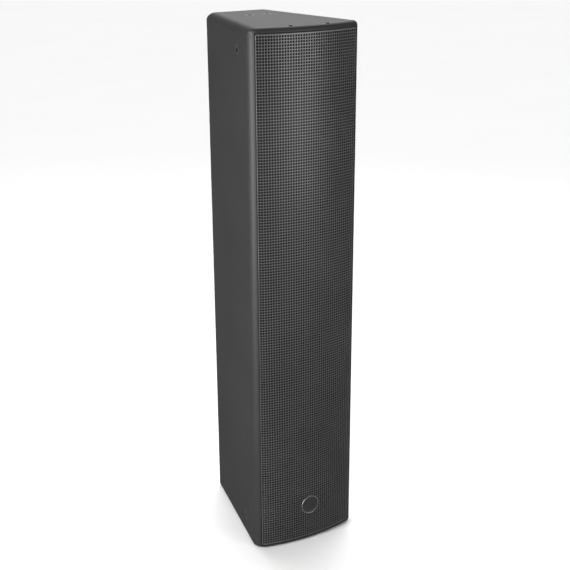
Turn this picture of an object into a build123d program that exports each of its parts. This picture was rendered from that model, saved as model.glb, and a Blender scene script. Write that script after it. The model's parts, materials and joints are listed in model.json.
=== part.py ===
from build123d import *
import math
import os

# Column loudspeaker: a tall tapered plywood cabinet with a curved perforated front, four
# 200 mm woofers, a high-frequency horn between them and a recessed input plate at the rear.
#
# Millimetres, up is +Z and the grille faces -Y. The design frame has Z = 0 on the cabinet's
# underside and Y = 0 on the chord that joins its two sharp front corners. save() moves each
# node to the part's own frame: the origin is under the middle of the box, on the floor.

# Cabinet
CABINET_HEIGHT = 1110.0
FRONT_WIDTH = 249.0  # across the front corners before they are rounded
REAR_WIDTH = 138.4
CHORD_DEPTH = 289.3
FRONT_BULGE = 19.0
FRONT_CORNER_RADIUS = 25.0
REAR_CORNER_RADIUS = 3.0
SIDE_THICKNESS = 15.0
END_THICKNESS = 18.0
REAR_THICKNESS = 15.0
BAFFLE_THICKNESS = 18.0
BAFFLE_FRONT = 16.0  # Y of the baffle's front face
TOP_SIDE_ROUND = 18.0
TOP_FRONT_ROUND = 10.0
BOTTOM_ROUND = 2.0

# Front rebate and grille
REBATE_HALF_WIDTH = 112.0
TOP_LIP = 10.6
BOTTOM_LIP = 4.5
GRILLE_GAP = 0.8
GRILLE_THICKNESS = 1.5
FOAM_THICKNESS = 5.0
FOAM_GAP = 0.5
FOAM_EDGE_Y = 6.0  # the foam's side edges end here
GRILLE_SCREW_X = 40.0
GRILLE_SCREW_INSET = 9.0  # behind the front face of the top and bottom lips
GRILLE_SCREW_LENGTH = 14.0
GRILLE_SCREW_SINK = 1.8  # how far the upper screws' heads lie under the top
LOWER_GRILLE_SCREW_LENGTH = 8.0
BADGE_RADIUS = 21.0
BADGE_THICKNESS = 1.6
BADGE_RIM_WIDTH = 2.0
BADGE_RIM_HEIGHT = 0.6
BADGE_Z = 83.0

# Woofers, in their own frame: the axis is Z, forward is +Z, the baffle's front is Z = 0
WOOFER_HEIGHTS = (152.0, 364.0, 746.0, 958.0)
WOOFER_CUTOUT_RADIUS = 93.0
FRAME_RADIUS = 103.0
FRAME_INNER_RADIUS = 88.5
FRAME_WALL_RADIUS = 91.0
GASKET_THICKNESS = 1.5
FLANGE_TOP = 4.5
WALL_TOP = -3.5
WALL_FOOT = -50.5
WALL_FOOT_RADIUS = 59.5
WALL_THICKNESS = 2.5
SPIDER_SEAT = -40.5
SPIDER_SEAT_INNER = 52.0
SPIDER_SEAT_OUTER = 57.5
BASKET_BACK = -53.0
BASKET_BACK_RADIUS = 60.0
BASKET_BORE_RADIUS = 30.0
SHEET = 2.0  # the pressed frame's thickness
CONE_RIM_RADIUS = 78.0
CONE_EDGE_RADIUS = 73.8  # where the cone's slope meets its flat rim
CONE_THICKNESS = 1.2
CONE_NECK = -27.0
DUST_CAP_RADIUS = 30.0
DUST_CAP_RISE = 9.0
DUST_CAP_THICKNESS = 0.8
FORMER_INNER_RADIUS = 18.8
FORMER_OUTER_RADIUS = 19.3
FORMER_END = -63.0
COIL_OUTER_RADIUS = 20.1
COIL_TOP = -50.0
COIL_END = -62.0
POLE_RADIUS = 18.3
POLE_VENT_RADIUS = 6.0
GAP_OUTER_RADIUS = 20.7
PLATES_RADIUS = 50.0
MAGNET_RADIUS = 55.0
MAGNET_BORE_RADIUS = 28.0
FRONT_PLATE_THICKNESS = 6.0
MAGNET_THICKNESS = 18.0
YOKE_THICKNESS = 7.0
SURROUND_CENTRE = 83.2
SURROUND_OUTER = 5.9
SURROUND_INNER = 5.1
SURROUND_LAND = 0.8
SPIDER_THICKNESS = 0.8
SPIDER_RIM_RADIUS = 56.5
SPIDER_RIDGES = 5
SPIDER_RIDGE_HEIGHT = 1.8
WOOFER_BOLT_RADIUS = 98.5
WOOFER_BOLT_COUNT = 8
WOOFER_BOLT_TURN = 22.5  # degrees from local X to the first bolt
BOLT_HOLE_RADIUS = 2.4
TAG_HEIGHT = -30.0  # local Z of the solder tags

# Horn and its driver, in the same kind of frame
HORN_HEIGHT = 555.0
HORN_FLANGE_WIDTH = 190.0
HORN_FLANGE_HEIGHT = 166.0
HORN_FLANGE_THICKNESS = 4.0
HORN_MOUTH_WIDTH = 164.0
HORN_MOUTH_HEIGHT = 136.0
HORN_OPENING_MARGIN = 12.0  # how much wider the baffle's opening is than the mouth
HORN_WALL = 3.5
HORN_SCREW_X = 88.0
HORN_SCREW_Z = 76.0
HORN_SCREW_HOLE_RADIUS = 2.3
HORN_THROAT_RADIUS = 12.7
HORN_THROAT_Z = -72.0
HORN_NECK_RADIUS = 40.0
HORN_NECK_THICKNESS = 6.0
THROAT_BOLT_CIRCLE = 33.0
THROAT_BOLT_RADIUS = 2.5
THROAT_BOLT_LENGTH = 13.0
THROAT_BOLT_COUNT = 3
HF_PLATE_RADIUS = 45.0
HF_PLATE_THICKNESS = 8.0
HF_MAGNET_RADIUS = 43.0
HF_MAGNET_BORE = 27.0
HF_MAGNET_THICKNESS = 20.0
HF_TOP_THICKNESS = 6.0
HF_CAP_DEPTH = 24.0
HF_CAP_INNER_RADIUS = 34.0
HF_CAP_WALL = 3.0
HF_POLE_RADIUS = 21.0
HF_COIL_INNER = 21.5
HF_COIL_OUTER = 22.1
HF_GAP_RADIUS = 22.7
HF_COIL_REACH = 6.0  # how far the coil stands into the gap
HF_DOME_RISE = 7.0
HF_DOME_THICKNESS = 0.4
HF_SUSPENSION_THICKNESS = 0.4
HF_SUSPENSION_DROP = 1.2
HF_SUSPENSION_RADIUS = 33.5
HF_CLAMP_RADIUS = 32.0

# Rear connections
PLATE_Z = 200.0
PLATE_WIDTH = 104.0
PLATE_HEIGHT = 150.0
PLATE_THICKNESS = 2.0
PLATE_CORNER_RADIUS = 5.0
PLATE_RECESS = 4.0
PLATE_GAP = 0.5
PLATE_SHELF = 10.0  # width of the rebate that the plate and its gasket sit on
PLATE_GASKET_WIDTH = 9.5
PLATE_SCREW_INSET = 5.5
PLATE_SCREW_RADIUS = 1.9
PLATE_SCREW_LENGTH = 9.0
PLATE_HOLE_RADIUS = 2.2
SOCKET_PITCH = 56.0
SOCKET_FLANGE_WIDTH = 28.0
SOCKET_FLANGE_HEIGHT = 33.0
SOCKET_FLANGE_THICKNESS = 2.0
SOCKET_BODY_RADIUS = 13.6
SOCKET_BODY_DEPTH = 22.0
SOCKET_BORE_RADIUS = 12.0
SOCKET_BORE_DEPTH = 18.0
SOCKET_CORE_RADIUS = 5.6
SOCKET_CORE_HEIGHT = 10.0
SOCKET_SCREW_INSET_X = 3.4
SOCKET_SCREW_INSET_Z = 3.6
SOCKET_HOLE_GAP = 0.3
BOARD_Z = 400.0
BOARD_WIDTH = 88.0
BOARD_HEIGHT = 150.0
BOARD_THICKNESS = 1.6
STANDOFF_LENGTH = 8.0
STANDOFF_RADIUS = 4.0
BOARD_SCREW_LENGTH = 18.0
CAPACITOR_RADIUS = 7.5
CAPACITOR_LENGTH = 34.0
RESISTOR_LENGTH = 44.0
RESISTOR_SIDE = 9.0
COIL_RADIUS = 18.0
COIL_BORE_RADIUS = 8.0
COIL_HEIGHT = 15.0
COMPONENT_X = 20.0  # how far the board's parts stand from its middle line

# Fixing points
SIDE_INSERT_Y = 74.0
SIDE_INSERT_HEIGHTS = (40.0, 1061.0)
TOP_INSERT_X = 20.0
TOP_INSERT_Y = 190.0
REAR_INSERT_SPACING_X = 70.0
REAR_INSERT_SPACING_Z = 127.0
REAR_INSERT_Z = 760.0
SIDE_INSERT_LENGTH = 14.0
TOP_INSERT_LENGTH = 16.0
REAR_INSERT_LENGTH = 14.0
INSERT_BORE_RADIUS = 4.25  # M10 thread, minor radius
INSERT_BODY_RADIUS = 7.0
INSERT_FLANGE_RADIUS = 11.0
INSERT_FLANGE_THICKNESS = 1.6
INSERT_FLANGE_GAP = 0.1
POLE_BORE_RADIUS = 18.0
POLE_BODY_RADIUS = 24.0
POLE_BODY_GAP = 0.3
POLE_FLANGE_RADIUS = 38.0
POLE_FLANGE_THICKNESS = 3.0
POLE_FLANGE_GAP = 0.5
POLE_SOCKET_Y = 140.0
POLE_SOCKET_DEPTH = 80.0
POLE_SOCKET_END = 4.0  # thickness of the cup's closed end
POLE_SCREW_CIRCLE = 31.0
POLE_SCREW_HEAD_RADIUS = 3.4
POLE_SCREW_LENGTH = 14.0
FOOT_HEIGHT = 3.0
FOOT_RADIUS = 12.0
FOOT_EDGE_RADIUS = 0.8
FOOT_PLACES = ((-82.0, 34.0), (82.0, 34.0), (-48.0, 250.0), (48.0, 250.0))
FOOT_SCREW_DEPTH = 0.8  # the screw's head is this far up inside the foot
FOOT_SCREW_LENGTH = 14.0

# Braces, lining and wiring
BRACE_HEIGHTS = (258.0, 852.0)
BRACE_THICKNESS = 12.0
BRACE_WINDOW = (64.0, 100.0)
BRACE_WINDOW_RADIUS = 16.0
BRACE_WINDOW_Y = 152.0
LINING_THICKNESS = 10.0
LINING_Y = (100.0, 255.0)
LINING_MARGIN = 14.0
WIRE_RADIUS = 2.6
WIRE_Y = 254.0
WIRE_NOTCH_Y = 226.0
WIRE_NOTCH_HALF_WIDTH = 34.0
WIRE_BEND_RADIUS = 40.0

# Screws and fits
WOOD_SCREW_RADIUS = 2.0
WOOD_SCREW_HEAD_RADIUS = 4.0
PAN_HEAD_HEIGHT = 2.6
DRIVER_SCREW_LENGTH = 20.0
SMALL_SCREW_RADIUS = 1.6
FIT_CLEARANCE = 0.02

TAPER = math.atan((FRONT_WIDTH - REAR_WIDTH) / 2 / CHORD_DEPTH)
FRONT_RADIUS = ((FRONT_WIDTH / 2) ** 2 + FRONT_BULGE**2) / (2 * FRONT_BULGE)
FRONT_CENTRE_Y = FRONT_RADIUS - FRONT_BULGE
BOX_MID_Y = (CHORD_DEPTH - FRONT_BULGE - BADGE_THICKNESS) / 2
REAR_INSIDE = CHORD_DEPTH - REAR_THICKNESS
INSIDE_TOP = CABINET_HEIGHT - END_THICKNESS
BAFFLE_BACK = BAFFLE_FRONT + BAFFLE_THICKNESS
GRILLE_BOTTOM = BOTTOM_LIP + GRILLE_GAP
GRILLE_TOP = CABINET_HEIGHT - TOP_LIP - GRILLE_GAP
GRILLE_HALF_WIDTH = REBATE_HALF_WIDTH - GRILLE_GAP
HORN_SEAT = GASKET_THICKNESS + HORN_FLANGE_THICKNESS
HF_YOKE_END = HORN_THROAT_Z - HF_PLATE_THICKNESS
HF_MAGNET_END = HF_YOKE_END - HF_MAGNET_THICKNESS
HF_SEAT = HF_MAGNET_END - HF_TOP_THICKNESS
PLATE_FACE = CHORD_DEPTH - PLATE_RECESS
PLATE_BACK = PLATE_FACE - PLATE_THICKNESS
BOARD_BACK = REAR_INSIDE - STANDOFF_LENGTH
BOARD_FRONT = BOARD_BACK - BOARD_THICKNESS
FAR = 400.0  # reaches past the cabinet's plan on every side
STANDING = (Align.CENTER, Align.CENTER, Align.MIN)


# ---------------------------------------------------------------- helpers


def side_x(y, inset=0.0):
    """Half the cabinet's width at y, taken in by inset along the side's normal."""
    return FRONT_WIDTH / 2 - y * math.tan(TAPER) - inset / math.cos(TAPER)


def front_y(x):
    """Y of the curved front at x."""
    return FRONT_CENTRE_Y - math.sqrt(FRONT_RADIUS**2 - x**2)


def block(x0, x1, y0, y1, z0, z1):
    """A box between two corners."""
    return Pos((x0 + x1) / 2, (y0 + y1) / 2, (z0 + z1) / 2) * Box(x1 - x0, y1 - y0, z1 - z0)


def prism(face, z0, z1):
    """A plan outline made solid between two heights."""
    return extrude(Pos(0, 0, z0) * face, z1 - z0)


def polygon(*points):
    """A face from its corners in the XY plane."""
    return make_face(Polyline(*points, close=True))


def turned(*points):
    """A solid of revolution about Z from the corners of its half section (radius, height)."""
    section = make_face(Polyline(*[(r, 0, z) for r, z in points], close=True))
    return revolve(section, Axis.Z)


def tube(radius, length, hole=0.0):
    """A cylinder that starts at Z = 0 and goes up, with an optional bore."""
    solid = Pos(0, 0, length / 2) * Cylinder(radius, length)
    if hole:
        solid -= Pos(0, 0, length / 2) * Cylinder(hole, length)
    return solid


def through(radius):
    """A cutter that reaches well past both sides of Z = 0."""
    reach = 50.0
    return Pos(0, 0, -reach) * tube(radius, 2 * reach)


def ring_of(shape, radius, count, first=0.0):
    """Copies of a shape on a circle about Z."""
    step = 360.0 / count
    return [Rot(0, 0, first + i * step) * Pos(radius, 0, 0) * shape for i in range(count)]


def cut(shape, cutters):
    """Takes every cutter out of a shape."""
    for cutter in cutters:
        shape -= cutter
    return shape


def facing(x, y, z, toward):
    """A place whose +Z looks along toward, with its X as level as it can be."""
    level = (0, 1, 0) if abs(toward[2]) > 0.9 else (0, 0, 1)
    across = Vector(*level).cross(Vector(*toward))
    return Plane(origin=(x, y, z), x_dir=across, z_dir=toward).location


def on_baffle(z):
    """The place of a driver whose axis meets the baffle's front face at height z."""
    return facing(0, BAFFLE_FRONT, z, (0, -1, 0))


def four_corners(x, y):
    """The four sign combinations of a place."""
    return [(sx * x, sy * y) for sx in (-1, 1) for sy in (-1, 1)]


def pan_screw(radius, length, head_radius, head_height):
    """A round-headed cross-recess screw whose head sits on Z = 0 and points up."""
    head = tube(head_radius, head_height)
    head = fillet(head.edges().sort_by(Axis.Z)[-1], head_height * 0.45)
    shank = Pos(0, 0, -length) * tube(radius, length)
    recess_depth = head_height * 0.6
    slot = Pos(0, 0, head_height - recess_depth / 2)
    wing, blade = head_radius * 1.1, head_radius * 0.28
    return head + shank - slot * Box(wing, blade, recess_depth) - slot * Box(blade, wing, recess_depth)


def flat_screw(radius, length, head_radius):
    """A countersunk hex-recess screw whose head is flush with Z = 0."""
    head_height = head_radius - radius
    head = Pos(0, 0, -head_height) * Cone(radius, head_radius, head_height, align=STANDING)
    recess = Pos(0, 0, -head_height * 0.7) * extrude(RegularPolygon(radius * 0.8, 6), head_height)
    return head + Pos(0, 0, -length) * tube(radius, length) - recess


def countersink(radius, length, head_radius, above=0.0):
    """What flat_screw needs cut for it, with a clear way out above its head."""
    grown = head_radius + FIT_CLEARANCE
    head_height = head_radius - radius
    cutter = Pos(0, 0, -length) * tube(radius + FIT_CLEARANCE, length)
    cutter += Pos(0, 0, -head_height) * Cone(radius + FIT_CLEARANCE, grown, head_height, align=STANDING)
    return cutter + tube(grown, above) if above else cutter


def drill(radius, length):
    """A hole for a screw shank, down from Z = 0."""
    return Pos(0, 0, -length) * tube(radius + FIT_CLEARANCE, length)


def bare(shape):
    """Every solid in a shape, a list of shapes or a nest of lists."""
    if isinstance(shape, (list, tuple)) and not hasattr(shape, "wrapped"):
        return [solid for item in shape for solid in bare(item)]
    return list(shape.solids())


def save(name, *shapes):
    """Writes a node's solids to its own file, in the part's own frame."""
    place = Pos(0, -BOX_MID_Y, FOOT_HEIGHT)
    solids = [place * solid for solid in bare(list(shapes))]
    os.makedirs("parts", exist_ok=True)
    export_step(solids[0] if len(solids) == 1 else Compound(children=solids), f"parts/{name}.step")


# ---------------------------------------------------------------- cabinet


def plan_outline(rear_radius=0.0):
    """The cabinet's plan: a curved front with round corners, straight sides and a flat rear."""
    half_front, half_rear = FRONT_WIDTH / 2, REAR_WIDTH / 2
    front = ThreePointArc((-half_front, 0), (0, -FRONT_BULGE), (half_front, 0))
    rear_corners = (half_rear, CHORD_DEPTH), (-half_rear, CHORD_DEPTH)
    back = Polyline((half_front, 0), *rear_corners, (-half_front, 0))
    face = make_face(front + back)
    face = fillet(face.vertices().filter_by(lambda v: v.Y < 1), FRONT_CORNER_RADIUS)
    if rear_radius:
        face = fillet(face.vertices().filter_by(lambda v: v.Y > CHORD_DEPTH - 1), rear_radius)
    return face


def rounded_slab(place, radius):
    """A very large block whose one top edge is rounded. Its outer face is the place's YZ plane."""
    slab = block(-FAR, 0, -FAR, FAR, -FAR, CABINET_HEIGHT)
    edge = slab.edges().filter_by(Axis.Y).sort_by(lambda e: e.center().X + e.center().Z)[-1]
    return place * fillet(edge, radius)


def outer_body():
    """The whole cabinet as one solid, with every outside edge rounded as it is finished."""
    body = prism(plan_outline(), 0, CABINET_HEIGHT)
    top = body.faces().sort_by(Axis.Z)[-1]
    front_edges = top.edges().filter_by(lambda e: e.center().Y < CHORD_DEPTH - 1)
    body = fillet(front_edges, TOP_FRONT_ROUND)
    body = fillet(body.faces().sort_by(Axis.Z)[0].edges(), BOTTOM_ROUND)
    turn = math.degrees(TAPER)
    body &= rounded_slab(Pos(FRONT_WIDTH / 2, 0, 0) * Rot(0, 0, turn), TOP_SIDE_ROUND)
    body &= rounded_slab(Pos(-FRONT_WIDTH / 2, 0, 0) * Rot(0, 0, 180 - turn), TOP_SIDE_ROUND)
    body &= rounded_slab(Pos(0, CHORD_DEPTH, 0) * Rot(0, 0, 90), TOP_SIDE_ROUND)
    return body & prism(plan_outline(REAR_CORNER_RADIUS), 0, CABINET_HEIGHT)


def rebate(z0, z1):
    """The space in front of the baffle that the grille fills."""
    return block(-REBATE_HALF_WIDTH, REBATE_HALF_WIDTH, -FAR, BAFFLE_FRONT, z0, z1)


def inside_plan(y0, y1):
    """The plan between the side panels, from y0 back to y1."""
    a, b = side_x(y0, SIDE_THICKNESS), side_x(y1, SIDE_THICKNESS)
    return polygon((-a, y0), (a, y0), (b, y1), (-b, y1))


def side_panel(body, hand):
    """One side panel with its round front nose. hand is +1 for the +X side."""
    outside = polygon(
        (hand * REBATE_HALF_WIDTH, -FAR),
        (hand * REBATE_HALF_WIDTH, BAFFLE_FRONT),
        (hand * side_x(BAFFLE_FRONT, SIDE_THICKNESS), BAFFLE_FRONT),
        (hand * side_x(FAR, SIDE_THICKNESS), FAR),
        (hand * FAR, FAR),
        (hand * FAR, -FAR),
    )
    return body & prism(outside, END_THICKNESS, INSIDE_TOP)


def top_panel(body):
    """The top board, rounded over at its sides and rear, with the rebate's upper lip."""
    board = body & block(-FAR, FAR, -FAR, FAR, INSIDE_TOP, CABINET_HEIGHT + 1)
    return board - rebate(INSIDE_TOP - 1, CABINET_HEIGHT - TOP_LIP)


def bottom_panel(body):
    """The bottom board with the rebate's thin lower lip and the hole for the pole socket."""
    board = body & block(-FAR, FAR, -FAR, FAR, -1, END_THICKNESS)
    board -= rebate(BOTTOM_LIP, END_THICKNESS + 1)
    axis = Pos(0, POLE_SOCKET_Y, 0)
    board -= axis * tube(POLE_FLANGE_RADIUS + POLE_FLANGE_GAP, POLE_FLANGE_THICKNESS)
    return board - axis * tube(POLE_BODY_RADIUS + POLE_BODY_GAP, END_THICKNESS)


def rear_panel():
    """The rear board between the sides, with the rebated opening for the input plate."""
    board = prism(inside_plan(REAR_INSIDE, CHORD_DEPTH), END_THICKNESS, INSIDE_TOP)
    half_w, half_h = PLATE_WIDTH / 2 + PLATE_GAP, PLATE_HEIGHT / 2 + PLATE_GAP
    shelf = PLATE_BACK - GASKET_THICKNESS
    board -= block(-half_w, half_w, shelf, FAR, PLATE_Z - half_h, PLATE_Z + half_h)
    window_w, window_h = half_w - PLATE_SHELF, half_h - PLATE_SHELF
    return board - block(-window_w, window_w, 0, FAR, PLATE_Z - window_h, PLATE_Z + window_h)


def horn_opening():
    """The rectangle that the baffle and the horn's gasket leave open round the horn's mouth."""
    width, height = HORN_MOUTH_WIDTH + HORN_OPENING_MARGIN, HORN_MOUTH_HEIGHT + HORN_OPENING_MARGIN
    return RectangleRounded(width, height, HORN_OPENING_MARGIN / 2)


def front_baffle():
    """The flat board that carries the drivers."""
    board = prism(inside_plan(BAFFLE_FRONT, BAFFLE_BACK), END_THICKNESS, INSIDE_TOP)
    for z in WOOFER_HEIGHTS:
        board -= on_baffle(z) * through(WOOFER_CUTOUT_RADIUS)
    horn_hole = Pos(0, 0, -BAFFLE_THICKNESS - 1) * extrude(horn_opening(), BAFFLE_THICKNESS + 2)
    return board - on_baffle(HORN_HEIGHT) * horn_hole


def window_brace(z):
    """A board that ties the baffle to the sides and rear, open in its middle and for the wiring."""
    low, high = z - BRACE_THICKNESS / 2, z + BRACE_THICKNESS / 2
    board = prism(inside_plan(BAFFLE_BACK, REAR_INSIDE), low, high)
    window = Pos(0, BRACE_WINDOW_Y) * RectangleRounded(*BRACE_WINDOW, BRACE_WINDOW_RADIUS)
    board -= prism(window, low - 1, high + 1)
    return board - block(-WIRE_NOTCH_HALF_WIDTH, WIRE_NOTCH_HALF_WIDTH, WIRE_NOTCH_Y, FAR, low - 1, high + 1)


def lining():
    """Felt sheets on the side walls, in the three bays that the braces leave."""
    half = BRACE_THICKNESS / 2
    floors = (END_THICKNESS, BRACE_HEIGHTS[0] + half, BRACE_HEIGHTS[1] + half)
    ceilings = (BRACE_HEIGHTS[0] - half, BRACE_HEIGHTS[1] - half, INSIDE_TOP)
    y0, y1 = LINING_Y
    wall, face = SIDE_THICKNESS, SIDE_THICKNESS + LINING_THICKNESS
    sheets = []
    for hand in (-1, 1):
        plan = polygon(
            (hand * side_x(y0, wall), y0),
            (hand * side_x(y1, wall), y1),
            (hand * side_x(y1, face), y1),
            (hand * side_x(y0, face), y0),
        )
        for low, high in zip(floors, ceilings):
            sheets.append(prism(plan, low + LINING_MARGIN, high - LINING_MARGIN))
    return sheets


# ---------------------------------------------------------------- grille


def behind_front(depth):
    """The cabinet's plan taken in by depth along its normals."""
    return offset(plan_outline(), amount=-depth)


def between_sides(half_width):
    """A plan window between two planes parallel to the YZ plane, in front of the baffle's face."""
    return Pos(0, -FAR) * Rectangle(2 * half_width, FAR + BAFFLE_FRONT, align=(Align.CENTER, Align.MIN))


def grille():
    """The steel grille: a curved face with returns on all four sides that stand on the baffle."""
    outer = plan_outline() & between_sides(GRILLE_HALF_WIDTH)
    inner = behind_front(GRILLE_THICKNESS) & between_sides(GRILLE_HALF_WIDTH - GRILLE_THICKNESS)
    pan = prism(outer, GRILLE_BOTTOM, GRILLE_TOP)
    return pan - prism(inner, GRILLE_BOTTOM + GRILLE_THICKNESS, GRILLE_TOP - GRILLE_THICKNESS)


def grille_foam():
    """The thin open foam sheet behind the grille's face."""
    margin = GRILLE_THICKNESS + FOAM_GAP
    half_width = GRILLE_HALF_WIDTH - margin
    band = behind_front(GRILLE_THICKNESS) - behind_front(GRILLE_THICKNESS + FOAM_THICKNESS)
    band &= Pos(0, FOAM_EDGE_Y - FAR / 2) * Rectangle(2 * half_width, FAR)
    return prism(band, GRILLE_BOTTOM + margin, GRILLE_TOP - margin)


def curved_disc(radius, thickness):
    """A round patch that stands thickness proud of the front's curve at the badge's height."""
    band = Pos(0, FRONT_CENTRE_Y) * (Circle(FRONT_RADIUS + thickness) - Circle(FRONT_RADIUS))
    patch = facing(0, 0, BADGE_Z, (0, -1, 0)) * tube(radius, FAR)
    return prism(band, BADGE_Z - radius - 1, BADGE_Z + radius + 1) & patch


def badge():
    """A blank round badge with a raised rim, curved to the grille's face."""
    field_radius = BADGE_RADIUS - BADGE_RIM_WIDTH
    rim = curved_disc(BADGE_RADIUS, BADGE_THICKNESS) - curved_disc(field_radius, BADGE_THICKNESS + 1)
    return rim + curved_disc(field_radius + 0.1, BADGE_THICKNESS - BADGE_RIM_HEIGHT)


# ---------------------------------------------------------------- woofers


def wall_radius(z):
    """Inner radius of the basket's wall at height z."""
    slope = (FRAME_INNER_RADIUS - WALL_FOOT_RADIUS) / (WALL_TOP - WALL_FOOT)
    return WALL_FOOT_RADIUS + (z - WALL_FOOT) * slope


def woofer_basket():
    """The pressed frame: a flange, a slotted conical wall, a spider seat and a back plate."""
    seat_back = SPIDER_SEAT - SHEET
    wall_turn = WALL_TOP - 0.7
    frame = turned(
        (FRAME_RADIUS, GASKET_THICKNESS),
        (FRAME_RADIUS, FLANGE_TOP),
        (FRAME_INNER_RADIUS, FLANGE_TOP),
        (FRAME_INNER_RADIUS, WALL_TOP),
        (wall_radius(SPIDER_SEAT), SPIDER_SEAT),
        (SPIDER_SEAT_INNER, SPIDER_SEAT),
        (SPIDER_SEAT_INNER, seat_back),
        (SPIDER_SEAT_OUTER, seat_back),
        (SPIDER_SEAT_OUTER, BASKET_BACK + SHEET),
        (BASKET_BORE_RADIUS, BASKET_BACK + SHEET),
        (BASKET_BORE_RADIUS, BASKET_BACK),
        (BASKET_BACK_RADIUS, BASKET_BACK),
        (BASKET_BACK_RADIUS, seat_back),
        (wall_radius(seat_back) + WALL_THICKNESS, seat_back),
        (FRAME_WALL_RADIUS, wall_turn),
        (FRAME_WALL_RADIUS, GASKET_THICKNESS),
    )
    window = Pos(80, 0, -21) * Box(50, 46, 26)
    holes = ring_of(through(BOLT_HOLE_RADIUS), WOOFER_BOLT_RADIUS, WOOFER_BOLT_COUNT, WOOFER_BOLT_TURN)
    return cut(frame, ring_of(window, 0, 6, 30) + holes)


def woofer_motor():
    """The front plate, the ferrite ring and the yoke with its centre pole."""
    front = BASKET_BACK
    magnet_top = front - FRONT_PLATE_THICKNESS
    magnet_end = magnet_top - MAGNET_THICKNESS
    back = magnet_end - YOKE_THICKNESS
    bevel = 2.0
    plate = Pos(0, 0, magnet_top) * tube(PLATES_RADIUS, FRONT_PLATE_THICKNESS, GAP_OUTER_RADIUS)
    magnet = Pos(0, 0, magnet_end) * tube(MAGNET_RADIUS, MAGNET_THICKNESS, MAGNET_BORE_RADIUS)
    yoke = turned(
        (POLE_VENT_RADIUS, front),
        (POLE_RADIUS, front),
        (POLE_RADIUS, magnet_end),
        (PLATES_RADIUS, magnet_end),
        (PLATES_RADIUS, back + bevel),
        (PLATES_RADIUS - bevel, back),
        (POLE_VENT_RADIUS, back),
    )
    return plate, magnet, yoke


def woofer_cone():
    """The moving assembly: cone, dust cap, coil former and coil."""
    rim_back = FLANGE_TOP - CONE_THICKNESS
    body = turned(
        (CONE_RIM_RADIUS, FLANGE_TOP),
        (CONE_RIM_RADIUS, rim_back),
        (CONE_EDGE_RADIUS - CONE_THICKNESS / 2, rim_back),
        (FORMER_INNER_RADIUS, CONE_NECK - CONE_THICKNESS),
        (FORMER_INNER_RADIUS, CONE_NECK),
        (CONE_EDGE_RADIUS, FLANGE_TOP),
    )
    body += turned(
        (FORMER_INNER_RADIUS, CONE_NECK + CONE_THICKNESS / 2),
        (FORMER_OUTER_RADIUS, CONE_NECK + CONE_THICKNESS / 2),
        (FORMER_OUTER_RADIUS, COIL_TOP),
        (COIL_OUTER_RADIUS, COIL_TOP),
        (COIL_OUTER_RADIUS, COIL_END),
        (FORMER_OUTER_RADIUS, COIL_END),
        (FORMER_OUTER_RADIUS, FORMER_END),
        (FORMER_INNER_RADIUS, FORMER_END),
    )
    slope = (FLANGE_TOP - CONE_NECK) / (CONE_EDGE_RADIUS - FORMER_INNER_RADIUS)
    seat = CONE_NECK + (DUST_CAP_RADIUS - FORMER_INNER_RADIUS) * slope
    dome_radius = (DUST_CAP_RADIUS**2 + DUST_CAP_RISE**2) / (2 * DUST_CAP_RISE)
    centre = Pos(0, 0, seat + DUST_CAP_RISE - dome_radius)
    dome = centre * Sphere(dome_radius) - centre * Sphere(dome_radius - DUST_CAP_THICKNESS)
    crown = Pos(0, 0, seat - DUST_CAP_THICKNESS / 2) * tube(DUST_CAP_RADIUS + 1, DUST_CAP_RISE + 5)
    return body + (dome & crown)


def woofer_surround():
    """The half-roll rubber edge between the cone's rim and the frame's flange."""
    outer_land, inner_land = (88.6, 94.0), (73.9, 77.9)
    section = Pos(SURROUND_CENTRE, 0) * (Circle(SURROUND_OUTER) - Circle(SURROUND_INNER))
    section &= Pos(SURROUND_CENTRE, 10) * Rectangle(30, 20)
    for start, end in (outer_land, inner_land):
        section += Pos((start + end) / 2, SURROUND_LAND / 2) * Rectangle(end - start, SURROUND_LAND)
    return Pos(0, 0, FLANGE_TOP) * revolve(Plane.XZ * section, Axis.Z)


def woofer_spider():
    """The corrugated disc that centres the coil, from the former out to the frame's seat."""
    flat_in, flat_out = 22.5, 51.5
    count = 4 * SPIDER_RIDGES
    step = (flat_out - flat_in) / count
    ridges = [(flat_in + i * step, SPIDER_RIDGE_HEIGHT * math.sin(i * math.pi / 2)) for i in range(count + 1)]
    lower = [(FORMER_OUTER_RADIUS, 0)] + ridges + [(SPIDER_RIM_RADIUS, 0)]
    upper = [(r, z + SPIDER_THICKNESS) for r, z in reversed(lower)]
    return turned(*[(r, SPIDER_SEAT + z) for r, z in lower + upper])


def woofer_gasket():
    """The flat ring between the frame and the baffle."""
    ring = tube(FRAME_RADIUS, GASKET_THICKNESS, WOOFER_CUTOUT_RADIUS)
    holes = ring_of(through(BOLT_HOLE_RADIUS), WOOFER_BOLT_RADIUS, WOOFER_BOLT_COUNT, WOOFER_BOLT_TURN)
    return cut(ring, holes)


def woofer_terminal():
    """The strip of two solder tags on the frame's side, on local -X."""
    strip = Pos(-77, 0, TAG_HEIGHT) * Box(12, 26, 12)
    seat_back, gap = SPIDER_SEAT - SHEET, 0.2
    inside_frame = turned(
        (0, WALL_TOP - 0.7),
        (FRAME_WALL_RADIUS + gap, WALL_TOP - 0.7),
        (wall_radius(seat_back) + WALL_THICKNESS + gap, seat_back),
        (0, seat_back),
    )
    tags = [Pos(-86, y, TAG_HEIGHT) * Box(6.2, 5, 0.8) for y in (-7, 7)]
    return [strip - inside_frame] + tags


# ---------------------------------------------------------------- horn


def horn_flange(thickness):
    """The outline of the horn's flange, which its gasket shares, with its four screw holes."""
    plate = extrude(RectangleRounded(HORN_FLANGE_WIDTH, HORN_FLANGE_HEIGHT, 8), thickness)
    corners = four_corners(HORN_SCREW_X, HORN_SCREW_Z)
    return cut(plate, [Pos(x, y, 0) * through(HORN_SCREW_HOLE_RADIUS) for x, y in corners])


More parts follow.
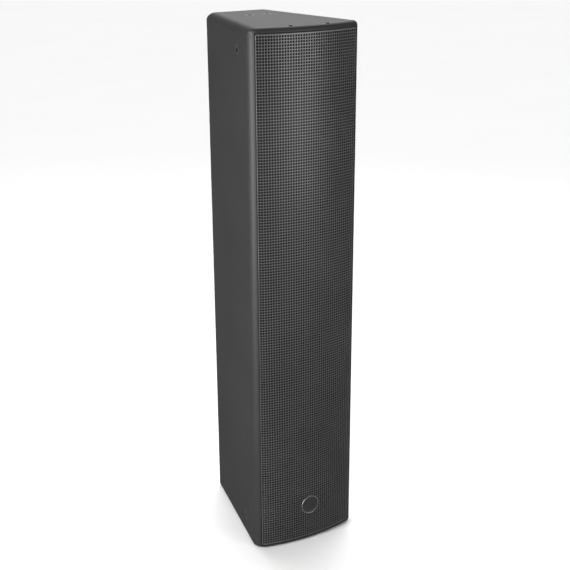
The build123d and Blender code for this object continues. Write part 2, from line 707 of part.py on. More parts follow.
def horn():
    """The moulded horn: a flange, a flare from a wide mouth to a round throat and a driver flange."""
    throat = Pos(0, 0, HORN_THROAT_Z)
    width, height = HORN_MOUTH_WIDTH, HORN_MOUTH_HEIGHT
    outside = loft(
        [
            Pos(0, 0, HORN_SEAT - 1) * RectangleRounded(width + 8, height + 8, 10).face(),
            throat * Circle(HORN_THROAT_RADIUS + HORN_WALL).face(),
        ]
    )
    inside = loft(
        [
            Pos(0, 0, HORN_SEAT) * RectangleRounded(width, height, 8).face(),
            throat * Circle(HORN_THROAT_RADIUS).face(),
        ]
    )
    neck = throat * tube(HORN_NECK_RADIUS, HORN_NECK_THICKNESS)
    shell = Pos(0, 0, GASKET_THICKNESS) * horn_flange(HORN_FLANGE_THICKNESS) + outside + neck - inside
    bolt_hole = tube(THROAT_BOLT_RADIUS + FIT_CLEARANCE, 2 * HORN_NECK_THICKNESS)
    bolt_holes = ring_of(bolt_hole, THROAT_BOLT_CIRCLE, THROAT_BOLT_COUNT, 90)
    return cut(shell, [throat * hole for hole in bolt_holes])


def horn_gasket():
    """The flat frame between the horn's flange and the baffle."""
    return horn_flange(GASKET_THICKNESS) - extrude(horn_opening(), GASKET_THICKNESS)


def horn_driver():
    """The compression driver: yoke with its throat, ferrite ring, front plate and rear cap."""
    yoke = turned(
        (HORN_THROAT_RADIUS, HORN_THROAT_Z),
        (HF_PLATE_RADIUS, HORN_THROAT_Z),
        (HF_PLATE_RADIUS, HF_YOKE_END),
        (HF_POLE_RADIUS, HF_YOKE_END),
        (HF_POLE_RADIUS, HF_SEAT),
        (HORN_THROAT_RADIUS, HF_SEAT),
    )
    bolt_hole = Pos(0, 0, HF_YOKE_END - 1) * tube(THROAT_BOLT_RADIUS + FIT_CLEARANCE, HF_PLATE_THICKNESS + 2)
    yoke = cut(yoke, ring_of(bolt_hole, THROAT_BOLT_CIRCLE, THROAT_BOLT_COUNT, 90))
    magnet = Pos(0, 0, HF_MAGNET_END) * tube(HF_MAGNET_RADIUS, HF_MAGNET_THICKNESS, HF_MAGNET_BORE)
    top = Pos(0, 0, HF_SEAT) * tube(HF_PLATE_RADIUS, HF_TOP_THICKNESS, HF_GAP_RADIUS)
    cap_end, bevel = HF_SEAT - HF_CAP_DEPTH, 4.0
    cap = turned(
        (HF_CAP_INNER_RADIUS, HF_SEAT),
        (HF_PLATE_RADIUS, HF_SEAT),
        (HF_PLATE_RADIUS, cap_end + bevel),
        (HF_PLATE_RADIUS - bevel, cap_end),
        (0, cap_end),
        (0, cap_end + HF_CAP_WALL),
        (HF_CAP_INNER_RADIUS, cap_end + HF_CAP_WALL),
    )
    return yoke, magnet, top, cap


def horn_diaphragm():
    """The thin dome with its coil, which stands clear of the driver all round."""
    back = HF_SEAT - HF_SUSPENSION_DROP
    coil = Pos(0, 0, back) * tube(HF_COIL_OUTER, HF_SUSPENSION_DROP + HF_COIL_REACH, HF_COIL_INNER)
    dome_radius = (HF_COIL_OUTER**2 + HF_DOME_RISE**2) / (2 * HF_DOME_RISE)
    centre = Pos(0, 0, HF_SEAT - 1.0 - HF_DOME_RISE + dome_radius)
    dome = centre * Sphere(dome_radius) - centre * Sphere(dome_radius - HF_DOME_THICKNESS)
    return coil + (dome & Pos(0, 0, back - HF_DOME_RISE - 1) * tube(HF_COIL_OUTER, HF_DOME_RISE + 1))


def horn_suspension():
    """The flat flexible ring that holds the dome, clamped at its outer edge."""
    back = HF_SEAT - HF_SUSPENSION_DROP
    face = back + HF_SUSPENSION_THICKNESS
    return turned(
        (HF_COIL_OUTER, back),
        (HF_SUSPENSION_RADIUS, back),
        (HF_SUSPENSION_RADIUS, HF_SEAT),
        (HF_CLAMP_RADIUS, HF_SEAT),
        (HF_CLAMP_RADIUS, face),
        (HF_COIL_OUTER, face),
    )


# ---------------------------------------------------------------- rear connections


def socket_offsets():
    """Heights of the two sockets above the plate's middle."""
    return (-SOCKET_PITCH / 2, SOCKET_PITCH / 2)


def plate_screw_places():
    """The plate's six edge screws, about its middle."""
    x, z = PLATE_WIDTH / 2 - PLATE_SCREW_INSET, PLATE_HEIGHT / 2 - PLATE_SCREW_INSET
    return [(side * x, level) for side in (-1, 1) for level in (-z, 0.0, z)]


def socket_screw_places():
    """Two screws at opposite corners of a socket's flange, about the socket's axis."""
    x = SOCKET_FLANGE_WIDTH / 2 - SOCKET_SCREW_INSET_X
    z = SOCKET_FLANGE_HEIGHT / 2 - SOCKET_SCREW_INSET_Z
    return [(side * x, side * z) for side in (-1, 1)]


def all_socket_screw_places():
    """The screws of both sockets, about the plate's middle."""
    return [(x, height + z) for height in socket_offsets() for x, z in socket_screw_places()]


def input_plate():
    """The painted steel plate, with a round hole for each speaker socket."""
    plate = extrude(RectangleRounded(PLATE_WIDTH, PLATE_HEIGHT, PLATE_CORNER_RADIUS), PLATE_THICKNESS)
    holes = [Pos(0, z, 0) * through(SOCKET_BODY_RADIUS + SOCKET_HOLE_GAP) for z in socket_offsets()]
    holes += [Pos(x, z, 0) * through(PLATE_HOLE_RADIUS) for x, z in plate_screw_places()]
    small_hole = through(SMALL_SCREW_RADIUS + FIT_CLEARANCE)
    holes += [Pos(x, z, 0) * small_hole for x, z in all_socket_screw_places()]
    return facing(0, PLATE_BACK, PLATE_Z, (0, 1, 0)) * cut(plate, holes)


def input_plate_gasket():
    """The foam frame behind the plate's edge."""
    sheet = extrude(RectangleRounded(PLATE_WIDTH, PLATE_HEIGHT, PLATE_CORNER_RADIUS), GASKET_THICKNESS)
    width, height = PLATE_WIDTH - 2 * PLATE_GASKET_WIDTH, PLATE_HEIGHT - 2 * PLATE_GASKET_WIDTH
    sheet -= extrude(Rectangle(width, height), GASKET_THICKNESS)
    holes = [Pos(x, z, 0) * through(PLATE_HOLE_RADIUS) for x, z in plate_screw_places()]
    return facing(0, PLATE_BACK - GASKET_THICKNESS, PLATE_Z, (0, 1, 0)) * cut(sheet, holes)


def speaker_socket(z):
    """A four-pole speaker socket: a flange, a round body, its bore, the contact core and four tags."""
    flange = extrude(RectangleRounded(SOCKET_FLANGE_WIDTH, SOCKET_FLANGE_HEIGHT, 3), SOCKET_FLANGE_THICKNESS)
    flange += Pos(0, 0, -SOCKET_BODY_DEPTH) * tube(SOCKET_BODY_RADIUS, SOCKET_BODY_DEPTH)
    floor = Pos(0, 0, -SOCKET_BORE_DEPTH)
    flange -= floor * tube(SOCKET_BORE_RADIUS, SOCKET_BORE_DEPTH + SOCKET_FLANGE_THICKNESS + 1)
    flange += floor * tube(SOCKET_CORE_RADIUS, SOCKET_CORE_HEIGHT)
    flange += Pos(0, SOCKET_BORE_RADIUS - 0.6, -13) * Box(3.2, 1.6, 10)
    hole = drill(SMALL_SCREW_RADIUS, SOCKET_BODY_DEPTH)
    flange = cut(flange, [Pos(x, y, SOCKET_FLANGE_THICKNESS) * hole for x, y in socket_screw_places()])
    tag = Pos(8, 0, -SOCKET_BODY_DEPTH - 3) * Box(0.8, 4.5, 6)
    tags = [Rot(0, 0, turn) * tag for turn in (45, 135, 225, 315)]
    at = facing(0, PLATE_FACE, PLATE_Z + z, (0, 1, 0))
    return [at * piece for piece in [flange] + tags]


def board_corners():
    """Where the board's four fixings stand, as (x, z)."""
    corners = four_corners(BOARD_WIDTH / 2 - 5, BOARD_HEIGHT / 2 - 6)
    return [(x, BOARD_Z + z) for x, z in corners]


def on_board(x, z):
    """A place on the board's front face, looking towards the grille."""
    return facing(x, BOARD_FRONT, z, (0, -1, 0))


def crossover_board():
    """The circuit board on its standoffs, off the rear panel's inside."""
    x, z = BOARD_WIDTH / 2, BOARD_HEIGHT / 2
    board = block(-x, x, BOARD_FRONT, BOARD_BACK, BOARD_Z - z, BOARD_Z + z)
    hole = drill(SMALL_SCREW_RADIUS, STANDOFF_LENGTH)
    return cut(board, [on_board(*corner) * hole for corner in board_corners()])


def board_standoffs():
    """Four spacers between the board and the rear panel."""
    spacer = tube(STANDOFF_RADIUS, STANDOFF_LENGTH, SMALL_SCREW_RADIUS + FIT_CLEARANCE)
    return [facing(x, BOARD_BACK, z, (0, 1, 0)) * spacer for x, z in board_corners()]


def board_screws():
    """Four pan-head screws through the board into the rear panel."""
    screw = pan_screw(SMALL_SCREW_RADIUS, BOARD_SCREW_LENGTH, 3.2, 2.2)
    return [on_board(*corner) * screw for corner in board_corners()]


def crossover_inductors():
    """Two air-cored coils that lie on the board."""
    coil = tube(COIL_RADIUS, COIL_HEIGHT)
    coil = fillet(coil.edges().filter_by(GeomType.CIRCLE), 1.0) - through(COIL_BORE_RADIUS)
    return [on_board(s * COMPONENT_X, BOARD_Z - s * 44) * coil for s in (-1, 1)]


def crossover_capacitors():
    """Three film capacitors lying across the board."""
    can = fillet(tube(CAPACITOR_RADIUS, CAPACITOR_LENGTH).edges(), 1.0)
    can = Rot(0, 90, 0) * Pos(0, 0, -CAPACITOR_LENGTH / 2) * can
    return [Pos(COMPONENT_X, BOARD_FRONT - CAPACITOR_RADIUS, BOARD_Z + z) * can for z in (40, 20, 0)]


def crossover_resistors():
    """Two wire-wound resistors in square ceramic cases."""
    case = fillet(Box(RESISTOR_LENGTH, RESISTOR_SIDE, RESISTOR_SIDE).edges().filter_by(Axis.X), 0.8)
    return [Pos(-COMPONENT_X, BOARD_FRONT - RESISTOR_SIDE / 2, BOARD_Z + z) * case for z in (8, -8)]


# ---------------------------------------------------------------- fixing points


def threaded_insert(length):
    """A flanged threaded sleeve whose open end is at Z = 0 and looks up."""
    sleeve = Pos(0, 0, -length) * tube(INSERT_BODY_RADIUS, length)
    sleeve += Pos(0, 0, -INSERT_FLANGE_THICKNESS) * tube(INSERT_FLANGE_RADIUS, INSERT_FLANGE_THICKNESS)
    return sleeve - Pos(0, 0, -length) * tube(INSERT_BORE_RADIUS, length)


def insert_room(length):
    """What a threaded insert needs cut for it."""
    room = Pos(0, 0, -length) * tube(INSERT_BODY_RADIUS + FIT_CLEARANCE, length)
    flange = tube(INSERT_FLANGE_RADIUS + INSERT_FLANGE_GAP, INSERT_FLANGE_THICKNESS)
    return room + Pos(0, 0, -INSERT_FLANGE_THICKNESS) * flange


def side_insert_places():
    """The inserts in the two side panels, which look along the panels' normals."""
    places = []
    for hand in (-1, 1):
        normal = (hand * math.cos(TAPER), math.sin(TAPER), 0)
        for z in SIDE_INSERT_HEIGHTS:
            places.append(facing(hand * side_x(SIDE_INSERT_Y), SIDE_INSERT_Y, z, normal))
    return places


def top_insert_places():
    """The two inserts in the top, for eye bolts."""
    return [facing(s * TOP_INSERT_X, TOP_INSERT_Y, CABINET_HEIGHT, (0, 0, 1)) for s in (-1, 1)]


def rear_insert_places():
    """The four inserts in the rear panel, for a wall bracket."""
    corners = four_corners(REAR_INSERT_SPACING_X / 2, REAR_INSERT_SPACING_Z / 2)
    return [facing(x, CHORD_DEPTH, REAR_INSERT_Z + z, (0, 1, 0)) for x, z in corners]


def pole_screw_places():
    """Four places on the pole socket's flange, looking down."""
    return [Pos(0, POLE_SOCKET_Y, 0) * place for place in ring_of(Rot(180, 0, 0), POLE_SCREW_CIRCLE, 4, 45)]


def pole_socket():
    """The moulded cup in the bottom that stands on a 35 mm pole."""
    cup = tube(POLE_BODY_RADIUS, POLE_SOCKET_DEPTH + POLE_SOCKET_END)
    cup += tube(POLE_FLANGE_RADIUS, POLE_FLANGE_THICKNESS)
    cup = Pos(0, POLE_SOCKET_Y, 0) * (cup - tube(POLE_BORE_RADIUS, POLE_SOCKET_DEPTH))
    sink = countersink(SMALL_SCREW_RADIUS, POLE_SCREW_LENGTH, POLE_SCREW_HEAD_RADIUS)
    return cut(cup, [place * sink for place in pole_screw_places()])


def foot_screw_seat():
    """Where a foot's screw head sits, inside the foot and looking down."""
    return Pos(0, 0, FOOT_SCREW_DEPTH - FOOT_HEIGHT) * Rot(180, 0, 0)


def rubber_foot():
    """A round foot under Z = 0 with a countersunk hole."""
    foot = Pos(0, 0, -FOOT_HEIGHT) * tube(FOOT_RADIUS, FOOT_HEIGHT)
    foot = fillet(foot.edges().sort_by(Axis.Z)[0], FOOT_EDGE_RADIUS)
    sink = countersink(WOOD_SCREW_RADIUS, FOOT_SCREW_LENGTH, WOOD_SCREW_HEAD_RADIUS, above=FOOT_HEIGHT)
    return foot - foot_screw_seat() * sink


# ---------------------------------------------------------------- wiring


def cable(*points):
    """A round cable along straight runs with wide bends."""
    runs = [(Vector(*b) - Vector(*a)).length for a, b in zip(points, points[1:])]
    radii = []
    for i in range(1, len(points) - 1):
        before = Vector(*points[i]) - Vector(*points[i - 1])
        after = Vector(*points[i + 1]) - Vector(*points[i])
        half_turn = math.radians(before.get_angle(after)) / 2
        radii.append(min(WIRE_BEND_RADIUS, 0.45 * min(runs[i - 1], runs[i]) / math.tan(half_turn)))
    path = FilletPolyline(*points, radius=radii)
    start = Plane(origin=path @ 0, z_dir=path % 0)
    return sweep(start * Circle(WIRE_RADIUS), path=path)


def woofer_cable(z, lane):
    """The cable from the crossover's end to the tags of the woofer at height z, up or down its lane."""
    away = 1 if z > BOARD_Z else -1
    tags_x, tags_y = -80.0, BAFFLE_FRONT - TAG_HEIGHT + 8.0
    return cable(
        (lane, WIRE_Y, BOARD_Z + away * BOARD_HEIGHT / 2),
        (lane, WIRE_Y, z - away * 40),
        (lane - 20, WIRE_Y - 50, z),
        (tags_x + 8, 110, z),
        (tags_x, tags_y, z),
    )


def near_woofer_cable(z, lane):
    """The cable to the woofer that is level with the crossover's lower end."""
    tags_x, tags_y = -80.0, BAFFLE_FRONT - TAG_HEIGHT + 8.0
    return cable(
        (lane, WIRE_Y, BOARD_Z - BOARD_HEIGHT / 2),
        (lane, WIRE_Y - 30, z - 80),
        (tags_x + 14, 130, z - 60),
        (tags_x + 2, 90, z - 20),
        (tags_x, tags_y, z),
    )


def horn_cable(lane):
    """The cable up from the crossover to the back of the horn's driver."""
    driver_back = BAFFLE_FRONT - HF_SEAT + HF_CAP_DEPTH
    return cable(
        (lane, WIRE_Y, BOARD_Z + BOARD_HEIGHT / 2),
        (lane, WIRE_Y, HORN_HEIGHT - 30),
        (lane, WIRE_Y - 40, HORN_HEIGHT),
        (lane, driver_back, HORN_HEIGHT),
    )


def driver_cables():
    """One cable from the crossover to each woofer's tags and to the horn's driver."""
    inner_lane, outer_lane, horn_lane = -12.0, -24.0, 12.0
    first, second, third, fourth = WOOFER_HEIGHTS
    return [
        woofer_cable(first, outer_lane),
        near_woofer_cable(second, inner_lane),
        woofer_cable(third, inner_lane),
        woofer_cable(fourth, outer_lane),
        horn_cable(horn_lane),
    ]


def input_cable(height, lane):
    """The cable from the socket at that height up its lane to the crossover's lower end."""
    bottom = BOARD_Z - BOARD_HEIGHT / 2
    tags_y = PLATE_FACE - SOCKET_BODY_DEPTH - 6
    return cable(
        (0, tags_y, height),
        (0, tags_y - 18, height + 3),
        (lane, tags_y - 22, height + 28),
        (lane, WIRE_Y, bottom - 30),
        (lane, WIRE_Y, bottom),
    )


# ---------------------------------------------------------------- assembly


def grille_screw_places(z, toward):
    """The two places of the grille's fixing screws on the top or the bottom."""
    y = front_y(GRILLE_SCREW_X) + GRILLE_SCREW_INSET
    return [facing(s * GRILLE_SCREW_X, y, z, toward) for s in (-1, 1)]


def save_cabinet(body, insert_rooms, cuts):
    """Writes the boards, the braces and the lining."""
    save("left_side_panel", cut(side_panel(body, -1), insert_rooms["side"]))
    save("right_side_panel", cut(side_panel(body, 1), insert_rooms["side"]))
    save("rear_panel", cut(rear_panel(), insert_rooms["rear"] + cuts["rear"]))
    save("top_panel", cut(top_panel(body), insert_rooms["top"] + cuts["grille"]))
    save("bottom_panel", cut(bottom_panel(body), cuts["grille"] + cuts["bottom"]))
    save("front_baffle", cut(front_baffle(), cuts["baffle"]))
    save("lower_brace", window_brace(BRACE_HEIGHTS[0]))
    save("upper_brace", window_brace(BRACE_HEIGHTS[1]))
    save("damping_lining", lining())


def grille_screw_cuts():
    """What the grille's screws need cut in the top, the bottom and the grille."""
    upper = grille_screw_places(CABINET_HEIGHT - GRILLE_SCREW_SINK, (0, 0, 1))
    lower = grille_screw_places(0, (0, 0, -1))
    above = GRILLE_SCREW_SINK + 1
    long_sink = countersink(WOOD_SCREW_RADIUS, GRILLE_SCREW_LENGTH, WOOD_SCREW_HEAD_RADIUS, above)
    short_sink = countersink(WOOD_SCREW_RADIUS, LOWER_GRILLE_SCREW_LENGTH, WOOD_SCREW_HEAD_RADIUS, above=1)
    return [p * long_sink for p in upper] + [p * short_sink for p in lower]


def save_grille(cuts):
    """Writes the grille, its foam, its badge and its screws."""
    upper = grille_screw_places(CABINET_HEIGHT - GRILLE_SCREW_SINK, (0, 0, 1))
    lower = grille_screw_places(0, (0, 0, -1))
    long_screw = flat_screw(WOOD_SCREW_RADIUS, GRILLE_SCREW_LENGTH, WOOD_SCREW_HEAD_RADIUS)
    short_screw = flat_screw(WOOD_SCREW_RADIUS, LOWER_GRILLE_SCREW_LENGTH, WOOD_SCREW_HEAD_RADIUS)
    save("grille", cut(grille(), cuts))
    save("grille_foam", grille_foam())
    save("badge", badge())
    save("grille_screws", [p * long_screw for p in upper], [p * short_screw for p in lower])


def save_woofers(bolt_places):
    """Writes the four woofers, piece by piece, and what they share."""
    places = [on_baffle(z) for z in WOOFER_HEIGHTS]
    for number, place in enumerate(places, 1):
        save(f"woofer_{number}_basket", place * woofer_basket())
        save(f"woofer_{number}_motor", [place * piece for piece in woofer_motor()])
        save(f"woofer_{number}_cone", place * woofer_cone())
        save(f"woofer_{number}_surround", place * woofer_surround())
        save(f"woofer_{number}_spider", place * woofer_spider())
    bolt = pan_screw(WOOD_SCREW_RADIUS, DRIVER_SCREW_LENGTH, WOOD_SCREW_HEAD_RADIUS, PAN_HEAD_HEIGHT)
    save("woofer_gaskets", [place * woofer_gasket() for place in places])
    save("woofer_screws", [place * bolt for place in bolt_places])
    save("woofer_terminals", [place * piece for place in places for piece in woofer_terminal()])


def save_horn(screw_places):
    """Writes the horn and its driver."""
    place = on_baffle(HORN_HEIGHT)
    screw = pan_screw(WOOD_SCREW_RADIUS, DRIVER_SCREW_LENGTH, WOOD_SCREW_HEAD_RADIUS, PAN_HEAD_HEIGHT)
    bolt = pan_screw(THROAT_BOLT_RADIUS, THROAT_BOLT_LENGTH, 4.4, 3.0)
    bolt_ring = ring_of(bolt, THROAT_BOLT_CIRCLE, THROAT_BOLT_COUNT, 90)
    bolt_seat = place * Pos(0, 0, HORN_THROAT_Z + HORN_NECK_THICKNESS)
    save("horn", place * horn())
    save("horn_gasket", place * horn_gasket())
    save("horn_screws", [p * screw for p in screw_places], [bolt_seat * b for b in bolt_ring])
    save("horn_driver", [place * piece for piece in horn_driver()])
    save("horn_diaphragm", place * horn_diaphragm())
    save("horn_suspension", place * horn_suspension())


def save_electronics(plate_at):
    """Writes the input plate with its sockets, the crossover and the cables."""
    plate_screw = pan_screw(PLATE_SCREW_RADIUS, PLATE_SCREW_LENGTH, 3.4, 2.2)
    socket_screw = pan_screw(SMALL_SCREW_RADIUS, PLATE_SCREW_LENGTH, 2.7, 1.6)
    socket_seat = plate_at * Pos(0, 0, SOCKET_FLANGE_THICKNESS)
    save("input_plate", input_plate())
    save("input_plate_gasket", input_plate_gasket())
    save("input_plate_screws", [plate_at * Pos(x, z, 0) * plate_screw for x, z in plate_screw_places()])
    save("input_sockets", [speaker_socket(z) for z in socket_offsets()])
    save("socket_screws", [socket_seat * Pos(x, z, 0) * socket_screw for x, z in all_socket_screw_places()])
    save("crossover_board", crossover_board())
    save("board_standoffs", board_standoffs())
    save("board_screws", board_screws())
    save("crossover_inductors", crossover_inductors())
    save("crossover_capacitors", crossover_capacitors())
    save("crossover_resistors", crossover_resistors())
    save("driver_cables", driver_cables())
    lanes = zip(socket_offsets(), (24.0, 10.0))
    save("input_cables", [input_cable(PLATE_Z + z, lane) for z, lane in lanes])


def save_underside(foot_places):
    """Writes the pole socket and the feet with their screws."""
    pole_screw = flat_screw(SMALL_SCREW_RADIUS, POLE_SCREW_LENGTH, POLE_SCREW_HEAD_RADIUS)
    foot_screw = flat_screw(WOOD_SCREW_RADIUS, FOOT_SCREW_LENGTH, WOOD_SCREW_HEAD_RADIUS)
    save("pole_socket", pole_socket())
    save("pole_socket_screws", [place * pole_screw for place in pole_screw_places()])
    save("rubber_feet", [place * rubber_foot() for place in foot_places])
    save("foot_screws", [place * foot_screw_seat() * foot_screw for place in foot_places])


def build():
    """Makes every node and writes it."""
    lengths = {"side": SIDE_INSERT_LENGTH, "top": TOP_INSERT_LENGTH, "rear": REAR_INSERT_LENGTH}
    places = {"side": side_insert_places(), "top": top_insert_places(), "rear": rear_insert_places()}
    rooms = {kind: [place * insert_room(lengths[kind]) for place in places[kind]] for kind in lengths}

    foot_places = [Pos(x, y, 0) for x, y in FOOT_PLACES]
    plate_at = facing(0, PLATE_FACE, PLATE_Z, (0, 1, 0))
    bolt_ring = ring_of(Pos(0, 0, FLANGE_TOP), WOOFER_BOLT_RADIUS, WOOFER_BOLT_COUNT, WOOFER_BOLT_TURN)
    bolt_places = [on_baffle(z) * place for z in WOOFER_HEIGHTS for place in bolt_ring]
    horn_corners = four_corners(HORN_SCREW_X, HORN_SCREW_Z)
    horn_screw_places = [on_baffle(HORN_HEIGHT) * Pos(x, y, HORN_SEAT) for x, y in horn_corners]

    plate_drill = drill(PLATE_SCREW_RADIUS, PLATE_SCREW_LENGTH)
    board_drill = drill(SMALL_SCREW_RADIUS, BOARD_SCREW_LENGTH)
    foot_drill = foot_screw_seat() * drill(WOOD_SCREW_RADIUS, FOOT_SCREW_LENGTH)
    pole_drill = drill(SMALL_SCREW_RADIUS, POLE_SCREW_LENGTH)
    driver_drill = drill(WOOD_SCREW_RADIUS, DRIVER_SCREW_LENGTH)
    rear_cuts = [plate_at * Pos(x, z, 0) * plate_drill for x, z in plate_screw_places()]
    rear_cuts += [on_board(*corner) * board_drill for corner in board_corners()]
    bottom_cuts = [place * foot_drill for place in foot_places]
    bottom_cuts += [place * pole_drill for place in pole_screw_places()]
    cuts = {
        "grille": grille_screw_cuts(),
        "rear": rear_cuts,
        "bottom": bottom_cuts,
        "baffle": [place * driver_drill for place in bolt_places + horn_screw_places],
    }

    inserts = [place * threaded_insert(lengths[kind]) for kind in lengths for place in places[kind]]

    save_cabinet(outer_body(), rooms, cuts)
    save("threaded_inserts", inserts)
    save_grille(cuts["grille"])
    save_woofers(bolt_places)
    save_horn(horn_screw_places)
    save_electronics(plate_at)
    save_underside(foot_places)


build()
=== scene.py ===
import json
import math

import bmesh
import bpy
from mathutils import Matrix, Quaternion, Vector, noise

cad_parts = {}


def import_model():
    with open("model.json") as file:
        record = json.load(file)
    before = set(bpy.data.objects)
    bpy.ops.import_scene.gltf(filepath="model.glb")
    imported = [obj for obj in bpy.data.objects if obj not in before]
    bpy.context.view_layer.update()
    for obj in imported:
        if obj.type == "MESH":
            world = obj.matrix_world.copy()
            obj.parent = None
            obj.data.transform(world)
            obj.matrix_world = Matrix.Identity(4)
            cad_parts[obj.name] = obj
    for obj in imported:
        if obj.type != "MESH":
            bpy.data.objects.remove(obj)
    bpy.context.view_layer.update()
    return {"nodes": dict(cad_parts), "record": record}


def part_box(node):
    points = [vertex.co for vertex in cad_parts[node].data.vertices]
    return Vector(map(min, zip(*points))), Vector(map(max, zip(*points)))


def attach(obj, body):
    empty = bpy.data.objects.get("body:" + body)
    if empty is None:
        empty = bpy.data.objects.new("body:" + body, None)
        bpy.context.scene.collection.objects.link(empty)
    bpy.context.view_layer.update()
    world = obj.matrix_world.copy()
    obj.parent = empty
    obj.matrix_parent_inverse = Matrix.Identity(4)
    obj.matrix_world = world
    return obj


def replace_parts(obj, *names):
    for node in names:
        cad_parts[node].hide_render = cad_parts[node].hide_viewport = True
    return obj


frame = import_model()

# Metres, in the CAD model's frame: the grille faces -Y, Z is up and the feet stand on Z = 0.
MM = 0.001

# The grille follows the cabinet's curved front, then turns back with round corners of its own
FRONT_RADIUS = 417.4 * MM
CORNER_RADIUS = 22.0 * MM
CORNER_X = 95.65 * MM  # centre of the round corner
EDGE_GAP = 0.8 * MM  # what the sheet leaves free at each side of the CAD grille's box
GRILLE_LOW, GRILLE_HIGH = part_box("grille")
ARC_CENTRE_Y = GRILLE_LOW.y + FRONT_RADIUS
GRILLE_HALF_WIDTH = GRILLE_HIGH.x - EDGE_GAP
GRILLE_BACK = GRILLE_HIGH.y
SHEET_THICKNESS = 1.0 * MM
SIDE_BEND = 0.7 * MM  # outer radius of the folds to the side returns
END_BEND = 2.4 * MM  # outer radius of the folds to the top and bottom returns
END_RETURN = 14 * MM  # length of the top and bottom returns, with their folds
BEND_STEPS = (0.0, 0.25, 0.5, 0.75, 1.0)  # where a fold's points lie along it

# Perforation: square holes that run nearly to the side folds
COLUMN_PITCH = 5.48 * MM
ROW_PITCH = 5.66 * MM
HOLE_SIZE = 4.35 * MM
HOLE_COLUMNS = 41
HOLE_ROWS = 192

# The foam behind the sheet
FOAM_GAP = 0.9 * MM
FOAM_THICKNESS = 4.2 * MM
FOAM_SIDE_MARGIN = 1.0 * MM
FOAM_RIPPLE = 0.35 * MM
FOAM_RIPPLE_LENGTH = 50 * MM
FOAM_EDGE_X = 100 * MM  # past here the pad sinks back from the sheet
FOAM_EDGE_SLOPE = 0.45

# The badge: its foot and tops are heights off the grille's face
BADGE_STEPS = 96  # points round it
BADGE_RIM_WIDTH = 1.5 * MM
BADGE_FOOT = 0.1 * MM
BADGE_RIM_TOP = 1.6 * MM
BADGE_FIELD_TOP = 1.02 * MM

# The photograph's viewing angle, as a plain camera without shift. It is turned by the yaw from +Y
# towards +X, looks down by the pitch, and leans by the roll, in degrees.
CAMERA_PLACE = (-1.059, -1.906, 1.349)
CAMERA_YAW, CAMERA_PITCH, CAMERA_ROLL = 29.67, 20.16, -0.28
CAMERA_LENS, CAMERA_SENSOR = 68.0, 36.0  # millimetres

# The stage
FLOOR_REACH = 40.0
BACKDROP_RADIUS = 36.0
BACKDROP_FOOT, BACKDROP_TOP = -0.5, 120.0


# ------------------------------------------------------------------ node helpers

WAVE_PERIOD = 0.314  # the wave texture's bands repeat at this distance when its scale is 1


